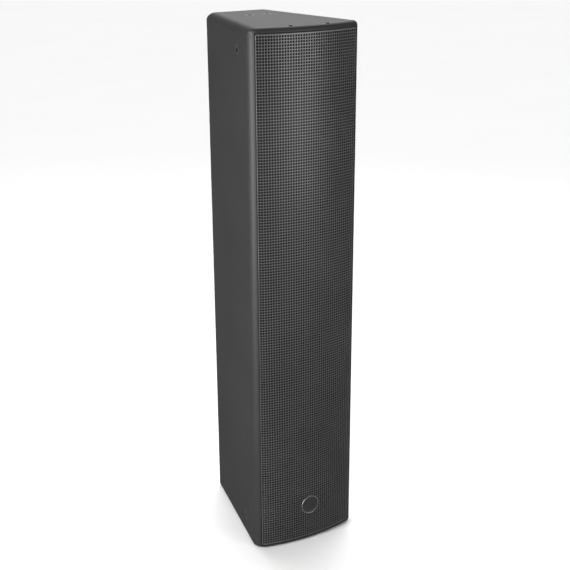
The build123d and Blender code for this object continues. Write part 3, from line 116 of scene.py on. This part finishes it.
class Graph:
    """A material's node tree, with short calls for the textures used here."""

    def __init__(self, name):
        self.material = bpy.data.materials.new(name)
        self.material.use_nodes = True
        self.tree = self.material.node_tree
        self.shader = self.tree.nodes["Principled BSDF"]
        self.place = self.add("ShaderNodeTexCoord").outputs["Object"]

    def add(self, kind, **values):
        node = self.tree.nodes.new(kind)
        for key, value in values.items():
            setattr(node, key, value)
        return node

    def link(self, source, target):
        self.tree.links.new(source, target)

    def set(self, **values):
        """Constant values on the shader's own sockets; underscores stand for spaces."""
        for key, value in values.items():
            socket = self.shader.inputs[key.replace("_", " ")]
            socket.default_value = (*value, 1.0) if isinstance(value, tuple) else value

    def stretched(self, x, y, z):
        """The place, scaled along each axis."""
        node = self.add("ShaderNodeMapping")
        node.inputs["Scale"].default_value = (x, y, z)
        self.link(self.place, node.inputs["Vector"])
        return node.outputs["Vector"]

    def noise(self, size, detail=3.0, roughness=0.55, vector=None, distortion=0.0):
        """Noise whose features are about size metres across."""
        node = self.add("ShaderNodeTexNoise")
        node.inputs["Scale"].default_value = 1.0 / size
        node.inputs["Detail"].default_value = detail
        node.inputs["Roughness"].default_value = roughness
        node.inputs["Distortion"].default_value = distortion
        self.link(vector or self.place, node.inputs["Vector"])
        return node.outputs["Fac"]

    def cells(self, size, feature="F1"):
        """Distance in a cell pattern whose cells are about size metres across."""
        node = self.add("ShaderNodeTexVoronoi", feature=feature)
        node.inputs["Scale"].default_value = 1.0 / size
        self.link(self.place, node.inputs["Vector"])
        return node.outputs["Distance"]

    def wave(self, size, axis):
        """Bands across an axis, size metres apart."""
        node = self.add("ShaderNodeTexWave", bands_direction=axis)
        node.inputs["Scale"].default_value = WAVE_PERIOD / size
        self.link(self.place, node.inputs["Vector"])
        return node.outputs["Fac"]

    def remap(self, source, low, high, source_low=0.3, source_high=0.7):
        """The source's range, stretched to low and high and held there."""
        node = self.add("ShaderNodeMapRange", clamp=True)
        node.inputs["From Min"].default_value = source_low
        node.inputs["From Max"].default_value = source_high
        node.inputs["To Min"].default_value = low
        node.inputs["To Max"].default_value = high
        self.link(source, node.inputs["Value"])
        return node.outputs["Result"]

    def ramp(self, source, *stops):
        """Colours at places along a value: (place, (r, g, b)) each."""
        node = self.add("ShaderNodeValToRGB")
        elements = node.color_ramp.elements
        while len(elements) < len(stops):
            elements.new(0.5)
        for element, (place, colour) in zip(elements, stops):
            element.position = place
            element.color = (*colour, 1.0)
        self.link(source, node.inputs["Fac"])
        return node.outputs["Color"]

    def math(self, operation, a, b):
        """The operation on two values, each a number or a source."""
        node = self.add("ShaderNodeMath", operation=operation)
        for socket, value in zip(node.inputs, (a, b)):
            if isinstance(value, (int, float)):
                socket.default_value = value
            else:
                self.link(value, socket)
        return node.outputs["Value"]

    def mix(self, factor, first, second):
        """Two colours, or colour sources, mixed by a factor."""
        node = self.add("ShaderNodeMix", data_type="RGBA")
        # 0 is the node's factor, 6 and 7 are its colour inputs and 2 is its colour output
        for socket, value in ((0, factor), (6, first), (7, second)):
            if isinstance(value, tuple):
                node.inputs[socket].default_value = (*value, 1.0)
            elif isinstance(value, (int, float)):
                node.inputs[socket].default_value = value
            else:
                self.link(value, node.inputs[socket])
        return node.outputs[2]

    def bump(self, height, depth, strength=1.0, under=None):
        """A normal from a height; depth is in metres."""
        node = self.add("ShaderNodeBump")
        node.inputs["Strength"].default_value = strength
        node.inputs["Distance"].default_value = depth
        self.link(height, node.inputs["Height"])
        if under:
            self.link(under, node.inputs["Normal"])
        return node.outputs["Normal"]

    def finish(self, colour, roughness, normal=None):
        """Links the three main sources and returns the material."""
        self.link(colour, self.shader.inputs["Base Color"])
        self.link(roughness, self.shader.inputs["Roughness"])
        if normal:
            self.link(normal, self.shader.inputs["Normal"])
        return self.material


def grey(value):
    """A neutral colour of that value."""
    return (value, value, value)


def shade(colour, factor):
    """A colour made darker or lighter by a factor."""
    return tuple(channel * factor for channel in colour)


# ------------------------------------------------------------------ materials
# Sizes of grain and depths of bumps are in metres.

PAINT_EDGE_RADIUS = 1.2 * MM


def textured_paint(name, value, grain, depth, rough, shine):
    """Sprayed cabinet paint: a fine pebbled film with slight clouding, softened over sharp edges."""
    g = Graph(name)
    clouds = g.noise(0.16, 4.0)
    speck = g.noise(grain * 0.7, 2.0)
    both = g.math("ADD", g.math("MULTIPLY", clouds, 0.6), g.math("MULTIPLY", speck, 0.4))
    colour = g.ramp(both, (0.30, grey(value * 0.80)), (0.52, grey(value)), (0.75, grey(value * 1.22)))
    pebbles = g.noise(grain, 2.5, 0.6)
    peel = g.noise(grain * 5, 1.0)
    soft_edge = g.add("ShaderNodeBevel", samples=4)
    soft_edge.inputs["Radius"].default_value = PAINT_EDGE_RADIUS
    swell = g.bump(peel, depth * 1.6, 0.5, soft_edge.outputs["Normal"])
    normal = g.bump(pebbles, depth, 0.9, swell)
    g.set(Specular_IOR_Level=shine)
    return g.finish(colour, g.remap(pebbles, rough - 0.07, rough + 0.09), normal)


def powder_coat(name, value, rough=0.42, shine=0.5):
    """Powder coat on steel: a smooth orange peel."""
    g = Graph(name)
    clouds = g.noise(0.09, 3.0)
    colour = g.ramp(clouds, (0.3, grey(value * 0.88)), (0.7, grey(value * 1.12)))
    peel = g.noise(0.0016, 2.0)
    fine = g.noise(0.0004, 2.0)
    normal = g.bump(peel, 0.00006, 0.8, g.bump(fine, 0.00002, 0.6))
    g.set(Specular_IOR_Level=shine)
    return g.finish(colour, g.remap(g.noise(0.02, 3.0), rough - 0.05, rough + 0.06), normal)


def plywood():
    """Birch plywood: pale grain along the board with thin dark lines."""
    g = Graph("bare_plywood")
    grain = g.noise(0.012, 8.0, 0.6, g.stretched(0.12, 1.0, 1.0), 0.6)
    dark, middle, pale = (0.42, 0.27, 0.14), (0.58, 0.41, 0.24), (0.68, 0.52, 0.33)
    colour = g.ramp(grain, (0.25, dark), (0.5, middle), (0.8, pale))
    return g.finish(colour, g.remap(grain, 0.5, 0.72), g.bump(grain, 0.0002, 0.6))


def felt():
    """Needled felt: tangled pale fibres."""
    g = Graph("felt")
    fibres = g.noise(0.002, 9.0, 0.75, g.stretched(1.0, 0.35, 1.6), 2.5)
    colour = g.ramp(fibres, (0.2, grey(0.22)), (0.55, grey(0.42)), (0.85, grey(0.56)))
    g.set(Sheen_Weight=0.4, Sheen_Roughness=0.6)
    return g.finish(colour, g.remap(fibres, 0.85, 1.0), g.bump(fibres, 0.0012, 0.9))


def black_foam():
    """Open-cell foam, nearly black, with small round pores, each darkened inside as painted shade."""
    g = Graph("black_foam")
    pores = g.cells(0.0011)
    clouds = g.noise(0.02, 3.0)
    # painted shade: the colour is darkest at the pore centres, where the bump sinks, mixed with random
    # clouding
    pore_shade_and_clouding = g.math("MULTIPLY", pores, clouds)
    colour = g.ramp(pore_shade_and_clouding, (0.05, grey(0.004)), (0.3, grey(0.016)), (0.6, grey(0.024)))
    g.set(Specular_IOR_Level=0.04)
    return g.finish(colour, g.remap(pores, 0.85, 1.0, 0.0, 0.8), g.bump(pores, 0.0006, 1.0))


def metal(name, colour, rough, grain=0.0006, metallic=1.0, along=(1.0, 1.0, 0.08)):
    """Bare or plated metal with drawn or turned marks."""
    g = Graph(name)
    marks = g.noise(grain, 4.0, 0.6, g.stretched(*along))
    stain = g.noise(0.012, 4.0)
    tint = g.ramp(stain, (0.3, shade(colour, 0.82)), (0.7, shade(colour, 1.1)))
    g.set(Metallic=metallic)
    return g.finish(tint, g.remap(marks, rough - 0.08, rough + 0.12), g.bump(marks, 0.00004, 0.5))


def moulded(name, colour, rough=0.5, grain=0.0009, depth=0.00006, coat=0.0):
    """Moulded plastic or rubber with a spark-eroded grain."""
    g = Graph(name)
    pits = g.noise(grain, 3.0, 0.6)
    flow = g.noise(0.03, 3.0)
    tint = g.ramp(flow, (0.3, shade(colour, 0.86)), (0.7, shade(colour, 1.14)))
    if coat:
        g.set(Coat_Weight=coat)
    return g.finish(tint, g.remap(pits, rough - 0.08, rough + 0.1), g.bump(pits, depth, 0.8))


def pressed_paper():
    """Doped paper cone: felted fibres under a thin lacquer."""
    g = Graph("cone_paper")
    fibres = g.noise(0.0035, 9.0, 0.7, distortion=1.8)
    colour = g.ramp(fibres, (0.25, grey(0.016)), (0.6, grey(0.04)), (0.85, grey(0.075)))
    return g.finish(colour, g.remap(fibres, 0.5, 0.75), g.bump(fibres, 0.00025, 0.8))


def woven(name, colour, thread):
    """Resin-dipped woven cloth, painted darker between the threads as painted shade, with random dirt."""
    g = Graph(name)
    warp = g.wave(thread, "X")
    weft = g.wave(thread, "Z")
    weave = g.math("MULTIPLY", warp, weft)
    dirt = g.noise(0.01, 4.0)
    # painted shade: the cloth is darkest between the threads, where the bump sinks
    tint = g.mix(g.remap(weave, 0.0, 0.7, 0.0, 1.0), shade(colour, 0.55), shade(colour, 1.15))
    tint = g.mix(g.remap(dirt, 0.0, 0.3), tint, shade(colour, 0.6))
    return g.finish(tint, g.remap(weave, 0.6, 0.85, 0.0, 1.0), g.bump(weave, 0.00015, 0.8))


def circuit_board():
    """Green solder mask over faint copper tracks."""
    g = Graph("circuit_board")
    tracks = g.cells(0.009, "DISTANCE_TO_EDGE")
    colour = g.ramp(tracks, (0.06, (0.02, 0.19, 0.07)), (0.12, (0.008, 0.085, 0.03)))
    g.set(Coat_Weight=0.4)
    return g.finish(colour, g.remap(tracks, 0.3, 0.42, 0.0, 0.3), g.bump(tracks, 0.00006, 0.5))


def winding():
    """Enamelled copper wire wound in close turns, painted dark in the grooves between turns as painted
    shade.
    """
    g = Graph("copper_wire")
    turns = g.wave(0.0011, "Y")
    # painted shade: the copper is darkest in the grooves between turns, where the bump sinks
    colour = g.ramp(turns, (0.1, (0.20, 0.06, 0.02)), (0.6, (0.62, 0.27, 0.11)))
    g.set(Metallic=0.9, Coat_Weight=0.5)
    return g.finish(colour, g.remap(turns, 0.25, 0.45, 0.0, 1.0), g.bump(turns, 0.0003, 0.9))


def gasket_foam():
    """Closed-cell foam tape, with cells smaller than the grille foam's pores, each painted darker in its
    hollow as painted shade.
    """
    g = Graph("gasket_foam")
    cells = g.cells(0.0008)
    # painted shade: the colour is darkest in each cell's hollow, where the bump sinks
    colour = g.ramp(cells, (0.1, grey(0.012)), (0.6, grey(0.035)))
    return g.finish(colour, g.remap(cells, 0.7, 0.9, 0.0, 0.8), g.bump(cells, 0.0002, 0.8))


def make_materials():
    """One material for each slot of the record, and a brighter one for the badge's satin rim."""
    return {
        "cabinet_paint": textured_paint(
            "cabinet_paint", 0.022, grain=0.0011, depth=0.00008, rough=0.50, shine=0.40
        ),
        "baffle_paint": textured_paint(
            "baffle_paint", 0.012, grain=0.0015, depth=0.00012, rough=0.7, shine=0.15
        ),
        "bare_plywood": plywood(),
        "felt": felt(),
        "zinc_steel": metal("zinc_steel", grey(0.10), 0.42, metallic=0.8),
        "grille_coat": powder_coat("grille_coat", 0.08, rough=0.36, shine=1.0),
        "black_foam": black_foam(),
        "badge_metal": metal("badge_metal", grey(0.10), 0.36, metallic=0.85),
        "badge_rim": metal("badge_rim", grey(0.34), 0.42),
        "black_screw": metal("black_screw", grey(0.035), 0.4, metallic=0.7),
        "basket_coat": powder_coat("basket_coat", 0.018, 0.5),
        "motor_metal": metal("motor_metal", grey(0.22), 0.45, metallic=0.8),
        "cone_paper": pressed_paper(),
        "surround_rubber": moulded("surround_rubber", grey(0.018), 0.55),
        "suspension_cloth": woven("suspension_cloth", (0.52, 0.36, 0.13), 0.0009),
        "gasket_foam": gasket_foam(),
        "terminal_brass": metal("terminal_brass", (0.68, 0.48, 0.20), 0.3),
        "horn_plastic": moulded("horn_plastic", grey(0.02), 0.5, depth=0.0001),
        "dome_metal": metal("dome_metal", (0.62, 0.62, 0.60), 0.28),
        "plate_coat": powder_coat("plate_coat", 0.022, 0.48),
        "socket_plastic": moulded("socket_plastic", grey(0.016), 0.42),
        "circuit_board": circuit_board(),
        "copper_wire": winding(),
        "capacitor_film": moulded("capacitor_film", (0.50, 0.34, 0.03), 0.3, coat=0.3),
        "resistor_ceramic": moulded("resistor_ceramic", (0.62, 0.60, 0.55), 0.75, depth=0.0001),
        "cable_sheath": moulded("cable_sheath", grey(0.022), 0.5),
        "foot_rubber": moulded("foot_rubber", grey(0.014), 0.75, depth=0.00012),
    }


# ------------------------------------------------------------------ mesh helpers


def mesh_object(name, vertices, faces, slot, material=None):
    """A new piece from vertices and faces, with its material slot."""
    mesh = bpy.data.meshes.new(name)
    mesh.from_pydata(vertices, [], faces)
    mesh.validate()
    piece = bpy.data.objects.new(name, mesh)
    bpy.context.scene.collection.objects.link(piece)
    mesh.materials.append(MATERIALS[material or slot])
    return piece


def drop_loose_points(mesh):
    """Deletes the points that no face uses."""
    points = bmesh.new()
    points.from_mesh(mesh)
    bmesh.ops.delete(points, geom=[v for v in points.verts if not v.link_faces], context="VERTS")
    points.to_mesh(mesh)
    points.free()


def thicken(piece, thickness):
    """Gives a sheet its thickness, behind its face, as part of its own mesh."""
    solidify = piece.modifiers.new("thickness", "SOLIDIFY")
    solidify.thickness = thickness
    solidify.offset = -1.0
    bpy.context.view_layer.update()
    evaluated = piece.evaluated_get(bpy.context.evaluated_depsgraph_get())
    mesh = bpy.data.meshes.new_from_object(evaluated)
    piece.modifiers.clear()
    piece.data = mesh


def smooth(piece, angle=32.0):
    """Smooth shading, with the edges over that angle kept sharp."""
    mesh = piece.data
    mesh.polygons.foreach_set("use_smooth", [True] * len(mesh.polygons))
    mesh.set_sharp_from_angle(angle=math.radians(angle))
    mesh.update()


# ------------------------------------------------------------------ grille


class FrontPath:
    """The grille's plan: the wide front arc, the round corners and the bends to its side returns."""

    def __init__(self):
        inner = FRONT_RADIUS - CORNER_RADIUS
        self.corner_y = ARC_CENTRE_Y - math.sqrt(inner**2 - CORNER_X**2)
        self.turn = math.asin(CORNER_X / inner)
        self.arc_length = self.turn * FRONT_RADIUS
        reach = CORNER_RADIUS - SIDE_BEND
        self.bend_turn = math.asin((GRILLE_HALF_WIDTH - SIDE_BEND - CORNER_X) / reach)
        self.bend_x = CORNER_X + reach * math.sin(self.bend_turn)
        self.bend_y = self.corner_y - reach * math.cos(self.bend_turn)
        self.bend_start = self.arc_length + (self.bend_turn - self.turn) * CORNER_RADIUS
        self.bend_length = (math.pi / 2 - self.bend_turn) * SIDE_BEND
        self.end = self.bend_start + self.bend_length + GRILLE_BACK - self.bend_y

    def at(self, s):
        """(x, y, normal x, normal y) at the length s from the middle, on the outer face."""
        sign, length = math.copysign(1.0, s), abs(s)
        if length <= self.arc_length:
            angle = length / FRONT_RADIUS
            x, y, radius = 0.0, ARC_CENTRE_Y, FRONT_RADIUS
        elif length <= self.bend_start:
            angle = self.turn + (length - self.arc_length) / CORNER_RADIUS
            x, y, radius = CORNER_X, self.corner_y, CORNER_RADIUS
        else:
            past = length - self.bend_start
            angle = min(math.pi / 2, self.bend_turn + past / SIDE_BEND)
            x, y, radius = self.bend_x, self.bend_y + max(0.0, past - self.bend_length), SIDE_BEND
        nx, ny = math.sin(angle), -math.cos(angle)
        return sign * (x + radius * nx), y + radius * ny, sign * nx, ny


def end_bend(t):
    """(inset, rise) at the length t past the start of the sheet's top or bottom bend."""
    quarter = math.pi / 2 * END_BEND
    if t < quarter:
        return END_BEND * (1 - math.cos(t / END_BEND)), END_BEND * math.sin(t / END_BEND)
    return END_BEND + t - quarter, END_BEND


def hole_edges(pitch, count, middle):
    """The low and high edges of a row of holes, in order."""
    first = middle - (count - 1) / 2 * pitch
    half = HOLE_SIZE / 2
    return [first + i * pitch + side for i in range(count) for side in (-half, half)]


def perforated_grille():
    """The folded steel grille with every hole cut through it."""
    path = FrontPath()
    sides = [path.bend_start + path.bend_length * k for k in BEND_STEPS] + [path.end]
    across = hole_edges(COLUMN_PITCH, HOLE_COLUMNS, 0.0)
    plan = [path.at(s) for s in [-s for s in reversed(sides)] + across + sides]

    low, high = GRILLE_LOW.z + END_BEND, GRILLE_HIGH.z - END_BEND
    ends = [math.pi / 2 * END_BEND * k for k in BEND_STEPS] + [END_RETURN]
    up = hole_edges(ROW_PITCH, HOLE_ROWS, (low + high) / 2)
    below = [(inset, low - rise) for inset, rise in map(end_bend, reversed(ends))]
    above = [(inset, high + rise) for inset, rise in map(end_bend, ends)]
    heights = below + [(0.0, z) for z in up] + above

    vertices = [(x - nx * inset, y - ny * inset, z) for inset, z in heights for x, y, nx, ny in plan]
    columns = len(plan)
    faces = []
    for j in range(len(heights) - 1):
        row = j - len(below)
        for i in range(columns - 1):
            column = i - len(sides)
            inside = (0 <= column < len(across) - 1, 0 <= row < len(up) - 1)
            is_hole = all(inside) and column % 2 == 0 and row % 2 == 0
            past_corner = (i < len(sides) - 1 or i >= columns - len(sides)) and (
                j < len(below) - 1 or j >= len(heights) - len(above)
            )
            if not is_hole and not past_corner:
                a = j * columns + i
                faces.append((a, a + 1, a + columns + 1, a + columns))
    piece = mesh_object("perforated_grille", vertices, faces, "grille_coat")
    drop_loose_points(piece.data)
    thicken(piece, SHEET_THICKNESS)
    smooth(piece)
    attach(piece, "cabinet")
    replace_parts(piece, "grille")


def foam_sheet():
    """The soft foam behind the grille: a curved pad, a little uneven, sunk back along its sides."""
    low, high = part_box("grille_foam")
    columns, rows = 60, 260
    path = FrontPath()
    half = min(high.x, path.at(path.bend_start)[0]) - FOAM_SIDE_MARGIN
    vertices, faces = [], []
    for j in range(rows + 1):
        z = low.z + (high.z - low.z) * j / rows
        for i in range(columns + 1):
            x = half * (2 * i / columns - 1)
            angle = math.asin(x / FRONT_RADIUS)
            ripple = FOAM_RIPPLE * noise.noise(Vector((x, 0.0, z)) / FOAM_RIPPLE_LENGTH)
            radius = FRONT_RADIUS - (SHEET_THICKNESS + FOAM_GAP + ripple)
            sink = max(0.0, abs(x) - FOAM_EDGE_X) * FOAM_EDGE_SLOPE
            y = ARC_CENTRE_Y - radius * math.cos(angle) + sink
            vertices.append((radius * math.sin(angle), y, z))
    for j in range(rows):
        for i in range(columns):
            a = j * (columns + 1) + i
            faces.append((a, a + 1, a + columns + 2, a + columns + 1))
    piece = mesh_object("foam_sheet", vertices, faces, "black_foam")
    thicken(piece, FOAM_THICKNESS)
    smooth(piece, 50)
    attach(piece, "cabinet")
    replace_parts(piece, "grille_foam")


def front_ring(name, profile, material):
    """A round piece on the grille's face, turned about the badge's axis.

    The profile is (radius, height off the face) points.
    """
    low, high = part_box("badge")
    centre_z = (low.z + high.z) / 2
    steps = BADGE_STEPS
    vertices, faces = [], []
    for radius, height in profile:
        for k in range(steps):
            x = radius * math.cos(2 * math.pi * k / steps)
            z = centre_z + radius * math.sin(2 * math.pi * k / steps)
            vertices.append((x, ARC_CENTRE_Y - math.sqrt((FRONT_RADIUS + height) ** 2 - x * x), z))
    for ring in range(len(profile) - 1):
        for k in range(steps):
            a, b = ring * steps + k, ring * steps + (k + 1) % steps
            faces.append((a, a + steps, b + steps, b))
    for ring, turn in ((0, 1), (len(profile) - 1, -1)):
        faces.append(tuple(ring * steps + k for k in range(steps))[::turn])
    piece = mesh_object(name, vertices, faces, "badge_metal", material)
    smooth(piece, 40)
    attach(piece, "cabinet")
    return piece


def badge():
    """A blank round badge: a dark satin field inside a lighter, rounded rim."""
    low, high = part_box("badge")
    outer = (high.x - low.x) / 2
    inner = outer - BADGE_RIM_WIDTH
    edge = inner - 0.02 * MM  # the field clears the rim
    rim = [
        (outer, BADGE_FOOT),
        (outer, 1.0 * MM),
        (outer - 0.25 * MM, 1.42 * MM),
        (outer - 0.6 * MM, BADGE_RIM_TOP),
        (inner + 0.5 * MM, BADGE_RIM_TOP - 0.06 * MM),
        (inner, 1.2 * MM),
        (inner, BADGE_FOOT),
    ]
    field = [
        (edge, BADGE_FOOT),
        (edge, 0.8 * MM),
        (inner - 0.5 * MM, 1.0 * MM),
        (outer * 0.5, BADGE_FIELD_TOP),
        (0.5 * MM, BADGE_FIELD_TOP),
    ]
    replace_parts(front_ring("badge_rim", rim, "badge_rim"), "badge")
    front_ring("badge_field", field, "badge_metal")


# ------------------------------------------------------------------ the CAD nodes' finishes


def dress_nodes():
    """Gives each CAD node its slot's material."""
    for part in frame["record"]["subparts"]:
        node = frame["nodes"][part["node"]]
        slot = part["material_slot"]
        node.data.materials.clear()
        node.data.materials.append(MATERIALS[slot])
        for polygon in node.data.polygons:
            polygon.material_index = 0


# ------------------------------------------------------------------ stage


def stage_mesh(name, vertices, faces, material):
    """A mesh of the stage, which isn't part of the object."""
    mesh = bpy.data.meshes.new(name)
    mesh.from_pydata(vertices, [], faces)
    mesh.materials.append(material)
    piece = bpy.data.objects.new(name, mesh)
    bpy.context.scene.collection.objects.link(piece)
    return piece


def floor():
    """A wide pale floor."""
    g = Graph("floor")
    clouds = g.noise(0.6, 3.0)
    colour = g.ramp(clouds, (0.2, grey(0.93)), (0.8, grey(0.95)))
    g.finish(colour, g.remap(clouds, 0.8, 0.9))
    corners = [(x * FLOOR_REACH, y * FLOOR_REACH, 0) for x, y in ((-1, -1), (1, -1), (1, 1), (-1, 1))]
    plane = stage_mesh("floor", corners, [(0, 1, 2, 3)], g.material)
    plane.visible_glossy = False  # a black cabinet would mirror it at flat angles and turn pale


def backdrop():
    """A plain white wall round the floor, which only the camera sees."""
    g = Graph("backdrop")
    mottle = g.ramp(g.noise(9.0, 2.0), (0.2, grey(0.97)), (0.8, grey(1.0)))
    g.link(mottle, g.shader.inputs["Emission Color"])
    g.set(Base_Color=grey(0.0), Emission_Strength=1.0, Specular_IOR_Level=0.0)
    steps = 64
    turns = [2 * math.pi * k / steps for k in range(steps)]
    vertices = [
        (BACKDROP_RADIUS * math.cos(turn), BACKDROP_RADIUS * math.sin(turn), z)
        for z in (BACKDROP_FOOT, BACKDROP_TOP)
        for turn in turns
    ]
    faces = [(k, (k + 1) % steps, steps + (k + 1) % steps, steps + k) for k in range(steps)]
    wall = stage_mesh("backdrop", vertices, faces, g.material)
    wall.visible_diffuse = wall.visible_glossy = wall.visible_shadow = False


def toward(azimuth, elevation):
    """The direction at that angle: azimuth 0 is in front of the object, 90 at its right side (+X)."""
    a, e = math.radians(azimuth), math.radians(elevation)
    return Vector((math.sin(a) * math.cos(e), -math.cos(a) * math.cos(e), math.sin(e)))


def lamp(name, kind, direction, place, energy):
    """A light at a place that shines back along the direction."""
    data = bpy.data.lights.new(name, kind)
    data.energy = energy
    light = bpy.data.objects.new(name, data)
    bpy.context.scene.collection.objects.link(light)
    light.location = place
    light.rotation_euler = (-direction).to_track_quat("-Z", "Y").to_euler()
    light.visible_camera = False
    return light


def softbox(name, azimuth, elevation, distance, width, height, power, aim):
    """An area light of that width and height, facing the object's axis at the height aim."""
    direction = toward(azimuth, elevation)
    light = lamp(name, "AREA", direction, Vector((0, 0, aim)) + direction * distance, power)
    light.data.shape = "RECTANGLE"
    light.data.size, light.data.size_y = width, height


def high_sun(azimuth, elevation, strength, spread):
    """A very soft, distant light that lights the whole floor evenly."""
    direction = toward(azimuth, elevation)
    light = lamp("high_sun", "SUN", direction, direction * 5, strength)
    light.data.angle = math.radians(spread)


def world():
    """Dim studio surroundings, as bright as a white floor only straight below."""
    surroundings = bpy.data.worlds.new("studio")
    surroundings.use_nodes = True
    bpy.context.scene.world = surroundings
    tree = surroundings.node_tree
    direction = tree.nodes.new("ShaderNodeTexCoord")
    parts = tree.nodes.new("ShaderNodeSeparateXYZ")
    glow = tree.nodes.new("ShaderNodeMapRange")
    for name, value in (("From Min", -0.6), ("From Max", -0.85), ("To Min", 0.17), ("To Max", 1.0)):
        glow.inputs[name].default_value = value
    tree.links.new(direction.outputs["Generated"], parts.inputs["Vector"])
    tree.links.new(parts.outputs["Z"], glow.inputs["Value"])
    tree.links.new(glow.outputs["Result"], tree.nodes["Background"].inputs["Strength"])
    tree.nodes["Background"].inputs["Color"].default_value = (1, 1, 1, 1)


def camera():
    """The photograph's viewing angle: from the left of the front, above the column's top."""
    data = bpy.data.cameras.new("camera")
    data.lens = CAMERA_LENS
    data.sensor_width = CAMERA_SENSOR
    data.clip_end = 100.0
    cam = bpy.data.objects.new("camera", data)
    bpy.context.scene.collection.objects.link(cam)
    forward = toward(180 - CAMERA_YAW, -CAMERA_PITCH)
    roll = math.radians(CAMERA_ROLL)
    cam.location = CAMERA_PLACE
    cam.rotation_mode = "QUATERNION"
    cam.rotation_quaternion = Quaternion(forward, -roll) @ forward.to_track_quat("-Z", "Y")
    bpy.context.scene.camera = cam


def studio():
    """A pale floor under soft light: high from behind, with soft boxes behind, at the left and in front."""
    floor()
    backdrop()
    high_sun(azimuth=150, elevation=62, strength=2.95, spread=50)
    softbox("rear", 145, 30, distance=2.6, width=2.0, height=1.6, power=10, aim=1.1)
    softbox("left", -82, 2, distance=1.7, width=0.35, height=1.2, power=38, aim=0.72)
    softbox("front", 21, 6, distance=1.8, width=0.7, height=1.1, power=12, aim=0.68)
    world()
    bpy.context.scene.view_settings.view_transform = "Standard"


# ------------------------------------------------------------------ the model

MATERIALS = make_materials()
dress_nodes()
perforated_grille()
foam_sheet()
badge()
studio()
camera()
